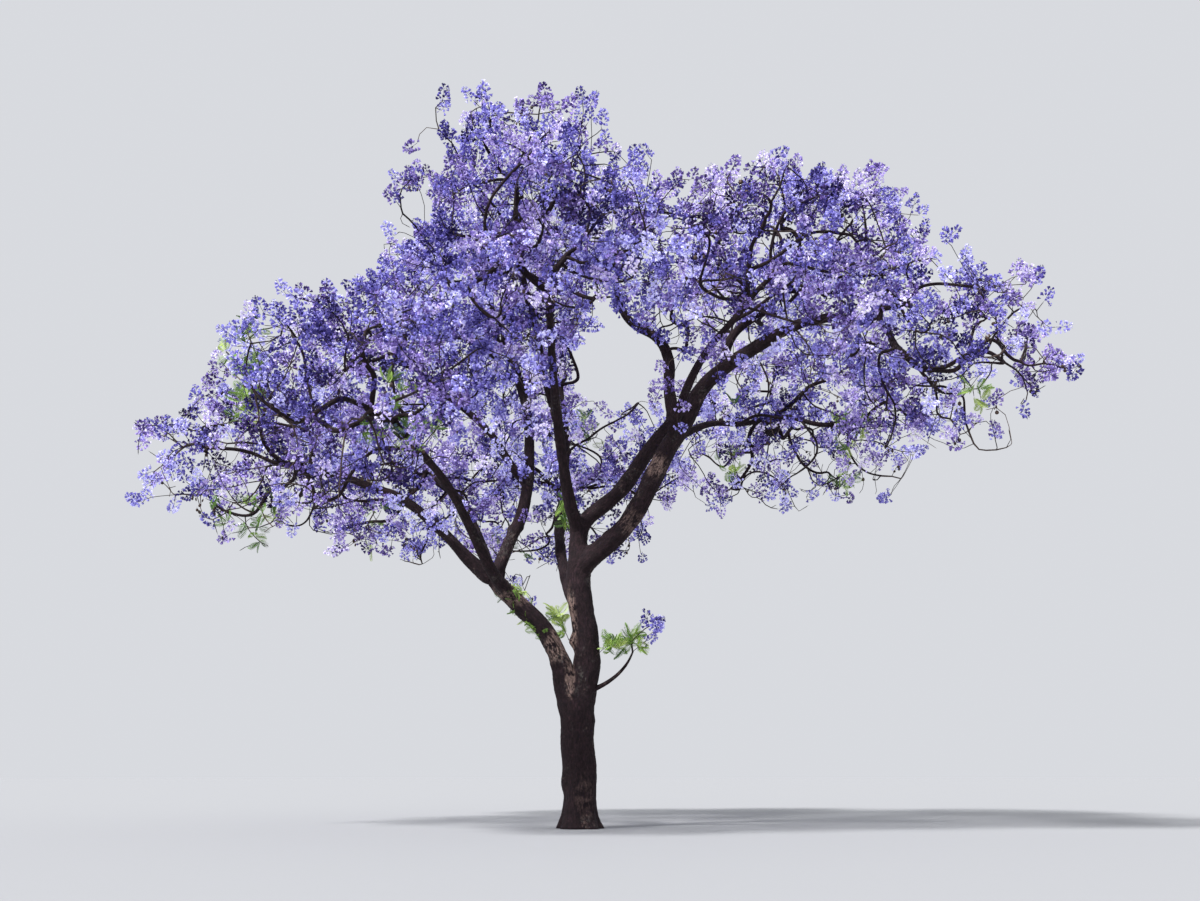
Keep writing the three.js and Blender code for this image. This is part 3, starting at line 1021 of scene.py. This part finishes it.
def thickened(parents, most):
    """Radius at each joint: as thick as the twigs that it carries, taken together."""
    load = np.zeros(len(parents))
    carries = np.bincount(parents[parents >= 0], minlength=len(parents)) > 0
    for i in range(len(parents) - 1, -1, -1):
        if not carries[i]:
            load[i] = 1
        if parents[i] >= 0:
            load[parents[i]] += load[i]
    return np.minimum(TIP_RADIUS * load ** (1 / PIPE_POWER), most), load, ~carries


def chains_of(parents, load):
    """Lines of joints, each from the joint that it leaves to its tip, following the heaviest twig."""
    heir = {}
    for i, parent in enumerate(parents):
        if parent >= 0 and parents[parent] >= 0 and (parent not in heir or load[i] > load[heir[parent]]):
            heir[parent] = i
    chains = []
    for i, parent in enumerate(parents):
        if parent < 0 or heir.get(parent) == i:
            continue
        chain = [parent, i]
        while chain[-1] in heir:
            chain.append(heir[chain[-1]])
        chains.append(chain)
    return chains


class Bundle:
    """Many small meshes of one kind, joined."""

    def __init__(self):
        self.points, self.faces, self.shades, self.size = [], {3: [], 4: []}, {3: [], 4: []}, 0

    def add(self, points, faces, shades):
        for array, shade in zip(faces, shades):
            corners = array.shape[1]
            self.faces[corners].append(array + self.size)
            self.shades[corners].append(np.broadcast_to(shade, len(array)))
        self.points.append(points)
        self.size += len(points)

    def made(self, name, materials, smooth=True):
        used = [c for c in (3, 4) if self.faces[c]]
        return piece(
            name, np.vstack(self.points), [np.vstack(self.faces[c]) for c in used], materials,
            np.concatenate([np.concatenate(self.shades[c]) for c in used]), smooth,
        )


def wood_tubes(joints, parents, kept, most, thick_lines, twig_bundle, random):
    """Adds the thick start of each line of joints to the crown's boughs and the rest to its twigs, as far as
    its last joint that is kept."""
    for i in range(len(parents) - 1, -1, -1):
        if parents[i] >= 0:
            kept[parents[i]] |= kept[i]
    joints, parents = only(kept, joints, parents)
    radii, load, _ = thickened(parents, most)
    for chain in chains_of(parents, load):
        line, thick = joints[chain], radii[chain].copy()
        thick[0] = min(thick[0], thick[1] * FOOT_SPREAD)
        bough = int((thick > THICK).sum())
        if bough > 2:
            smooth = curve_through(line[:bough + 1])
            share = np.linspace(0, 1, len(smooth))
            thick_lines.append((smooth, np.interp(share, np.linspace(0, 1, bough + 1), thick[:bough + 1])))
            line, thick = line[bough - 1:], thick[bough - 1:]
        if len(line) < 2:
            continue
        line = np.insert(line, -1, (1 - NECK) * line[-2] + NECK * line[-1], axis=0)
        thick = np.insert(thick, -1, thick[-1])
        sides = next(sides for limit, sides in TWIG_SIDES if thick[0] < limit)
        points, quads, fan = simple_tube(line, thick, sides)
        shade = random.choice(3, p=TWIG_ODDS)
        twig_bundle.add(points, [quads, fan], [shade, shade])


def strip_columns(lengths):
    """Lays strips of these lengths end to end in columns. Gives each one's column and its start there."""
    slack = 1.05
    longest = max(max(lengths), slack * sum(lengths) / MAP_COLUMNS)
    places, column, used = [], 0, 0.0
    for length in lengths:
        if used + length > longest:
            column, used = column + 1, 0.0
        places.append((column, used))
        used += length + STRIP_GAP
    return places


def crown_boughs(lines, material):
    """The crown's own boughs, joined, each with a strip of its own on the map for baking."""
    random = np.random.default_rng(61)
    bundle, grains, quad_map, fan_map = Bundle(), [], [], []
    lengths = [lengths_along(line)[-1] for line, _ in lines]
    columns = strip_columns(lengths)
    column_width = 1 / (columns[-1][0] + 1)
    column_length = max(used + length for (_, used), length in zip(columns, lengths)) * (1 + MAP_MARGIN)
    for (column, used), (line, radii) in zip(columns, lines):
        line, radii = resampled(line, radii, CROWN_RING_SPACING)
        sides = 9 if radii[0] > HEAVY_BOUGH else 6
        run = lengths_along(line)
        angle, outward = outward_round(line, sides)
        angles, runs_along = np.meshgrid(angle, run)
        radius = np.repeat(radii[:, None], sides, 1)
        lumps = waves(angles, runs_along, turns=2, pace=9.0, count=10, random=random)
        radius = radius * (1 + CROWN_LUMP * lumps)
        skin = (line[:, None] + outward * radius[..., None]).reshape(-1, 3)
        quads, fan = tube_faces(len(line), sides)
        bundle.add(np.vstack([skin, line[-1]]), [quads, fan], [0, 0])
        grain = grain_at(angles, radius, runs_along)
        grains.append(np.vstack([grain, grain[-1:]]) + random.uniform(0, 9, 3))
        place = (used + run) / column_length
        strip = strip_map(place, sides, column * column_width, STRIP_SHARE * column_width)
        quad_map.append(strip[0])
        fan_map.append(strip[1])
    faces = [np.vstack(bundle.faces[4]), np.vstack(bundle.faces[3])]
    return piece("crown_boughs", np.vstack(bundle.points), faces, [material], grain=np.vstack(grains),
                 unrolled=np.vstack(quad_map + fan_map))


# Blossom: each flower's points, its faces and how much lighter or darker each face is than its panicle
def ring_of(turns, reach, heights):
    """Points round the +Z axis, at one height or at one height each."""
    return np.stack([reach * np.cos(turns), reach * np.sin(turns), np.broadcast_to(heights, turns.shape)], 1)


def cone_faces(sides):
    """Triangles from the point at the foot to the ring of points after it."""
    return [(0, 1 + (i + 1) % sides, 1 + i) for i in range(sides)]


def trumpet():
    """An open flower along +Z: a slim swollen tube and five lobes that widen outwards."""
    lobes, half_lobe = 5, 0.55
    turn = turns_of(lobes)
    edges = np.stack([turn - half_lobe, turn + half_lobe], 1).reshape(-1)
    throat = ring_of(turn, 0.2, 0.6)
    rim = ring_of(edges, 0.52, np.repeat([0.95, 0.88, 1.0, 0.92, 0.97], 2))
    lips = [(1 + i, lobes + 2 * i + 2, lobes + 2 * i + 1) for i in range(lobes)]
    faces = np.array(cone_faces(lobes) + lips)
    return np.vstack([[0, 0, 0], throat, rim]), faces, [-1] * lobes + [1] * lobes


def bell():
    """A flower seen from outside, along +Z: one bell with an uneven mouth."""
    mouth = ring_of(turns_of(4), np.array([0.42, 0.35, 0.44, 0.37]), [0.98, 0.84, 1.0, 0.9])
    return np.vstack([[0, 0, 0], mouth]), np.array(cone_faces(4)), [0] * 4


def bud():
    """A slim closed flower along +Z."""
    crown = ring_of(turns_of(3), 0.13, [0.55, 0.62, 0.5])
    return np.vstack([[0, 0, 0], crown]), np.array([(0, 2, 1), (0, 3, 2), (0, 1, 3)]), [-2] * 3


FLOWERS = [trumpet(), bell(), bud()]


def turned(ways, spin):
    """Rotations that take +Z to each way, after a spin about it."""
    ways = unit(ways)
    helper = np.where(np.abs(ways[:, 2:]) < 0.9, [[0.0, 0.0, 1.0]], [[1.0, 0.0, 0.0]])
    side = unit(np.cross(helper, ways))
    other = np.cross(ways, side)
    cos, sin = np.cos(spin)[:, None], np.sin(spin)[:, None]
    return np.stack([side * cos + other * sin, other * cos - side * sin, ways], 2)


def panicle(random):
    """A loose pyramid of flowers round a short stalk along +Z, with buds at its tip."""
    bundle = Bundle()
    stalk = np.array([[0, 0, 0], [0.006, -0.004, 0.4], [-0.004, 0.006, 0.75], [0, 0, 1]])
    points, quads, fan = simple_tube(stalk * [1, 1, PANICLE_LENGTH], STALK_RADII, 3)
    triangles = np.vstack([quads[:, [0, 1, 2]], quads[:, [0, 2, 3]], fan])
    darkest = -9
    bundle.add(points, [triangles], [darkest])
    golden_turn = 2.4
    for i in range(FLORETS_PER_PANICLE):
        share = (i + random.uniform(0, 0.8)) / FLORETS_PER_PANICLE
        turn = i * golden_turn + random.uniform(-0.5, 0.5)
        out = np.array([math.cos(turn), math.sin(turn), 0])
        foot = UP * PANICLE_LENGTH * (0.04 + 0.9 * share) + out * (PANICLE_WIDTH * (1 - share) + 0.008)
        way = out * random.uniform(0.7, 1.1) + UP * (random.uniform(-0.6, 0.5) + share)
        way = way + random.normal(0, 0.2, 3)
        kind = 2 if share > BUDS_FROM else random.choice(3, p=FLORET_ODDS)
        size = FLORET_LENGTH * random.uniform(0.85, 1.15) * (1 - 0.15 * share)
        points, faces, tints = FLOWERS[kind]
        points = foot + (points * size) @ turned(way[None], np.array([random.uniform(0, 6)]))[0].T
        bundle.add(points, [faces], [np.array(tints) + random.integers(-1, 2)])
    return np.vstack(bundle.points), np.vstack(bundle.faces[3]), np.concatenate(bundle.shades[3])


def leaf(random):
    """A ferny leaf along +Z that arches over: a midrib with pairs of slim side leaves."""
    bare_foot, arch, droop = 0.14, 0.34, 0.12
    share = np.linspace(bare_foot, 1, LEAF_PAIRS)
    rib = np.stack([np.zeros(LEAF_PAIRS), arch * share**2, share - droop * share**3], 1) * LEAF_LENGTH
    points, faces = [], []
    for i in range(LEAF_PAIRS):
        reach = LEAF_LENGTH * LEAFLET_REACH * math.sin(math.pi * (0.15 + 0.77 * share[i]))
        reach = reach * random.uniform(0.85, 1.1)
        for hand in (-1, 1):
            way = unit(np.array([hand, 0.1 + 0.2 * share[i], 0.5]))
            wide = unit(np.cross(way, [0, 1, 0.2])) * LEAF_LENGTH * LEAFLET_WIDTH
            tip = rib[i] + way * reach + [0, 0.18 * reach, 0]
            middle = rib[i] + way * reach * 0.45
            start = len(points)
            points += [rib[i], middle + wide, tip, middle - wide]
            faces += [(start, start + 1, start + 2), (start, start + 2, start + 3)]
    start = len(points)
    points += [np.zeros(3), rib[-1], rib[LEAF_PAIRS // 2] + [0.004, 0.012, 0]]
    faces.append((start, start + 1, start + 2))
    return np.array(points), np.array(faces), np.zeros(len(faces), int)


def pod():
    """A flat round woody seed pod that hangs along -Z, with a thin wavy edge and a short stalk."""
    turn = turns_of(POD_SIDES)
    radius = POD_DIAMETER / 2
    half_thickness, waviness, stalk_length, stalk_width = 0.28 * radius, 0.08 * radius, 0.05, 0.003
    rim = np.stack([np.cos(turn) * radius, np.zeros(POD_SIDES), np.sin(turn) * radius * 1.1 - radius], 1)
    rim[:, 1] = waviness * np.cos(2 * turn)
    points = np.vstack([
        rim, [0, half_thickness, -radius], [0, -half_thickness, -radius], [0, 0, stalk_length],
        [stalk_width, 0, 0], [-stalk_width, 0, 0],
    ])
    faces = [(i, (i + 1) % POD_SIDES, POD_SIDES) for i in range(POD_SIDES)]
    faces += [((i + 1) % POD_SIDES, i, POD_SIDES + 1) for i in range(POD_SIDES)]
    faces.append((POD_SIDES + 2, POD_SIDES + 3, POD_SIDES + 4))
    return points, np.array(faces), np.zeros(len(faces), int)


def dealt(kinds, places, ways, spin, size, shade, random, tone=None):
    """Copies of a few kinds of spray, joined: one at each place, pointing its way, in its own shade. A tone
    is the first shade of the family that a spray's shades keep to."""
    choice = random.integers(0, len(kinds), len(places))
    turns = turned(ways, spin) * size[:, None, None]
    bundle = Bundle()
    for number, (points, faces, tints) in enumerate(kinds):
        chosen = np.nonzero(choice == number)[0]
        if not len(chosen):
            continue
        copies = np.einsum("nij,pj->npi", turns[chosen], points) + places[chosen][:, None]
        shifted = faces[None] + (np.arange(len(chosen)) * len(points))[:, None, None]
        shades = shade[chosen][:, None] + tints[None]
        if tone is not None:
            shades = np.clip(shades, 0, SHADES - 1) + tone[chosen][:, None]
        bundle.add(copies.reshape(-1, 3), [shifted.reshape(-1, 3)], [shades.reshape(-1)])
    return bundle


def place_noise(points, size, seed):
    """A slow, smooth value from about -1 to 1 that changes over this many metres."""
    random = np.random.default_rng(seed)
    count = 14
    total = np.zeros(len(points))
    for _ in range(count):
        wave = unit(random.normal(size=3)) * 2 * math.pi / size
        total += np.cos(points @ wave + random.uniform(0, WHOLE_TURN))
    return total / math.sqrt(count / 2)


def spray_sites(joints, parents, load, ends, random):
    """Joints that may carry a spray, which are every tip and some joints of thin twigs, and the way that each
    spray points."""
    outward = unit(joints - HEART_HEIGHT * UP)
    step = unit(joints - joints[np.maximum(parents, 0)])
    tips = np.nonzero(ends)[0]
    beside = np.nonzero(~ends & (parents >= 0) & (load <= SIDE_SPRAY_LOAD))[0]
    beside = beside[random.uniform(size=len(beside)) < SIDE_SPRAY_SHARE]
    at = np.concatenate([tips, beside])
    ways = step[at] * SPRAY_ALONG + outward[at] * SPRAY_OUT + UP * SPRAY_RISE
    ways = ways + random.normal(0, SPRAY_WANDER, (len(at), 3))
    ways[len(tips):] += random.normal(0, SIDE_SPRAY_WANDER, (len(beside), 3))
    return at, ways


def spray_kinds(places, ways, within, tuft, random):
    """Which sprays are leaves, which are pods and which are in flower. The rest stay bare."""
    green = place_noise(places, LEAF_PATCH, seed=29) + LEAFIER_PER_M * (LEAFIER_BELOW - places[:, 2])
    leafy = (green > LEAFY_FROM) & (within > NEARLY_OUT)
    if tuft:
        leafy = places[:, 0] < np.quantile(places[:, 0], TUFT_LEAFY_SHARE)
    clear = in_opening(places) & (not tuft)
    podded = ~leafy & ~clear & (within > SKIN_DEPTH) & (random.uniform(size=len(places)) < POD_SHARE)
    height = (places[:, 2] - places[:, 2].min()) / np.ptp(places[:, 2])
    upper = eased((height - UNDERSIDE) / UNDERSIDE_FADE)
    chance = UNDERSIDE_BLOSSOM + (UPPER_BLOSSOM - UNDERSIDE_BLOSSOM) * upper
    chance[within < -SKIN_DEPTH] = STRAY_BLOSSOM
    chance[within > INSIDE] *= INSIDE_BLOSSOM
    tips = places + unit(ways) * PANICLE_LENGTH
    box_low, box_high = np.array(cad_box)
    spilt = np.any((tips < box_low - SPILL) | (tips > box_high + SPILL), axis=1)
    flowering = ~leafy & ~clear & ~spilt & (tuft | (random.uniform(size=len(places)) < chance))
    return leafy, podded, flowering


def spray_shades(places, within, tuft, random):
    """The shade of each spray of blossom, with painted shade deep in the crown and painted light on the outer
    sprays, and the first shade of its family.
    """
    # The low tuft starts lighter, as painted light where it sits in shade. Sprays deep in the crown get
    # painted shade, and outer ones painted light, keeping out of the two darkest shades.
    shade = (TUFT_SHADE if tuft else MIDDLE_SHADE) + SHADE_DRIFT * place_noise(places, SHADE_PATCH, seed=23)
    depth = np.clip(within - OUTER_DEPTH, -0.5, 0.6)
    shade += random.normal(0, SHADE_SPREAD, len(places)) - DEEP_PAINTED_SHADE * depth
    darkest = np.where(within < OUTER_DEPTH, 2, 0)
    lilac = LILAC_MIX * place_noise(places, LILAC_PATCH, seed=41)
    lilac = lilac + random.normal(0, LILAC_MIX, len(places)) > LILAC_FROM
    return np.clip(np.round(shade), darkest, SHADES - 1).astype(int), lilac * SHADES


kind_random = np.random.default_rng(11)
panicles = [panicle(kind_random) for _ in range(PANICLE_KINDS)]
leaf_kinds = [leaf(kind_random) for _ in range(LEAF_KINDS)]

# Each mass of blossom
thick_lines, twig_bundle = [], Bundle()
leaf_places, leaf_ways, pod_places = [], [], []
for number, (limb_name, mass_name) in enumerate(FILLS.items()):
    random = np.random.default_rng(100 + number)
    tuft = mass_name == "low_tuft"
    line = centre_lines[limb_name]
    targets = mass_targets(mass_name, random)
    if not tuft:
        beside = side_targets(line, random)
        targets = np.vstack([targets, beside[beside[:, 2] > LOWEST_SIDE_TWIG]])
        targets = targets[~in_opening(targets)]
    joints, parents = crown_wood(line, targets, random, tuft)
    most = LIMBS[limb_name]["tip"] / 2
    _, load, ends = thickened(parents, most)
    at, ways = spray_sites(joints, parents, load, ends & (parents >= 0), random)
    places = joints[at]
    within = depth_in(mass_name, places)
    leafy, podded, flowering = spray_kinds(places, ways, within, tuft, random)
    leaf_places.append(places[leafy])
    leaf_ways.append(ways[leafy])
    pod_places.append(places[podded])
    kept = (crown_depth(joints)[0] > 0) & ~in_opening(joints) | tuft
    kept[at[leafy | podded | flowering]] = True
    wood_tubes(joints, parents, kept, most, thick_lines, twig_bundle, random)
    places, ways = places[flowering], ways[flowering]
    shade, tone = spray_shades(places, within[flowering], tuft, random)
    size = random.uniform(*PANICLE_SIZES, len(places))
    spin = random.uniform(0, WHOLE_TURN, len(places))
    bundle = dealt(panicles, places, ways, spin, size, shade, random, tone)
    blossom = bundle.made("blossom_" + mass_name.replace("_mass", ""), petals)
    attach(blossom, "root")
    if not tuft:
        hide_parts(mass_name)

# Young shoots near the fork
random = np.random.default_rng(91)
for corners, diameter in LEAFY_SHOOTS:
    line = curve_through(np.array(corners))
    line = line + SHOOT_BENDS[0] * np.stack([place_noise(line, SHOOT_BENDS[1], seed=i) for i in range(3)], 1)
    share = lengths_along(line) / lengths_along(line)[-1]
    points, quads, fan = simple_tube(line, diameter / 2 * (1 - SHOOT_TAPER * share), SHOOT_SIDES)
    twig_bundle.add(points, [quads, fan], [1, 1])
    for leaf_share in np.linspace(0.5, 1, SHOOT_LEAVES):
        leaf_places.append(place_at(line, leaf_share)[None])
        leaf_ways.append(unit(line[-1] - line[0])[None] + random.normal(0, 0.6, (1, 3)))

twigs = twig_bundle.made("twigs", twig_barks)
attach(twigs, "root")

boughs = crown_boughs(thick_lines, bark)
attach(boughs, "root")

# Leaves, in sprays of one green each
random = np.random.default_rng(77)
places = np.repeat(np.vstack(leaf_places), LEAVES_PER_SPRAY, 0)
ways = unit(np.repeat(np.vstack(leaf_ways), LEAVES_PER_SPRAY, 0))
ways = ways + random.normal(0, 0.7, ways.shape)
spin, size = random.uniform(0, WHOLE_TURN, len(places)), random.uniform(*LEAF_SIZES, len(places))
green = np.repeat(random.integers(0, len(greens), len(places) // LEAVES_PER_SPRAY), LEAVES_PER_SPRAY)
leaves = dealt(leaf_kinds, places, ways, spin, size, green, random).made("leaves", greens)
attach(leaves, "root")
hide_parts("low_tuft")

# Seed pods, a few together
places = np.repeat(np.vstack(pod_places), PODS_TOGETHER, 0)
places = places + random.normal(0, POD_SCATTER, places.shape)
ways = UP + random.normal(0, 0.3, places.shape)
spin, size = random.uniform(0, WHOLE_TURN, len(places)), random.uniform(*POD_SIZES, len(places))
brown = random.integers(0, len(pod_skins), len(places))
pods = dealt([pod()], places, ways, spin, size, brown, random).made("seed_pods", pod_skins)
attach(pods, "root")


# Floor, light and camera
FLOOR_REACH = 80
FLOOR_DROP = 0.004
FLOOR_COLOUR = (0.323, 0.329, 0.342)
BACKDROP_COLOUR = (0.93, 0.95, 1.0, 1)
BACKDROP_STRENGTH = 0.74
SUN_STRENGTH = 5.6
SUN_COLOUR = (1.0, 0.99, 0.985)
SUN_BREADTH = 8
SUN_FROM = (-0.62, -0.6, 1.0)
LENS = 42
TILT_UP = 12.6
TURN_RIGHT = 0.8
VIEW_REACH = 400


def studio():
    """A pale floor that runs into the backdrop, and one soft light from the front left."""
    corners = [(-1, -1), (1, -1), (1, 1), (-1, 1)]
    floor = piece(
        "floor", np.array([(x * FLOOR_REACH, y * FLOOR_REACH, -FLOOR_DROP) for x, y in corners]),
        [np.array([[0, 1, 2, 3]])], [plain_finish("pale_floor", FLOOR_COLOUR, 0.9)],
    )
    world = bpy.data.worlds.new("pale_backdrop")
    bpy.context.scene.world = world
    world.use_nodes = True
    world.node_tree.nodes["Background"].inputs["Color"].default_value = BACKDROP_COLOUR
    world.node_tree.nodes["Background"].inputs["Strength"].default_value = BACKDROP_STRENGTH
    sun = bpy.data.objects.new("soft_sun", bpy.data.lights.new("soft_sun", "SUN"))
    sun.data.energy = SUN_STRENGTH
    sun.data.angle = math.radians(SUN_BREADTH)
    sun.data.color = SUN_COLOUR
    sun.rotation_euler = Vector(SUN_FROM).to_track_quat("Z", "Y").to_euler()
    bpy.context.scene.collection.objects.link(sun)
    bpy.context.scene.view_settings.view_transform = "Standard"


def photographer():
    """The camera stands where the photograph was taken from, and is turned to take in the whole tree."""
    camera = bpy.data.objects.new("camera", bpy.data.cameras.new("camera"))
    camera.data.lens = LENS
    camera.data.clip_end = VIEW_REACH
    camera.location = EYE
    camera.rotation_euler = (math.radians(90 + TILT_UP), 0, math.radians(-TURN_RIGHT))
    bpy.context.scene.collection.objects.link(camera)
    bpy.context.scene.camera = camera


studio()
photographer()
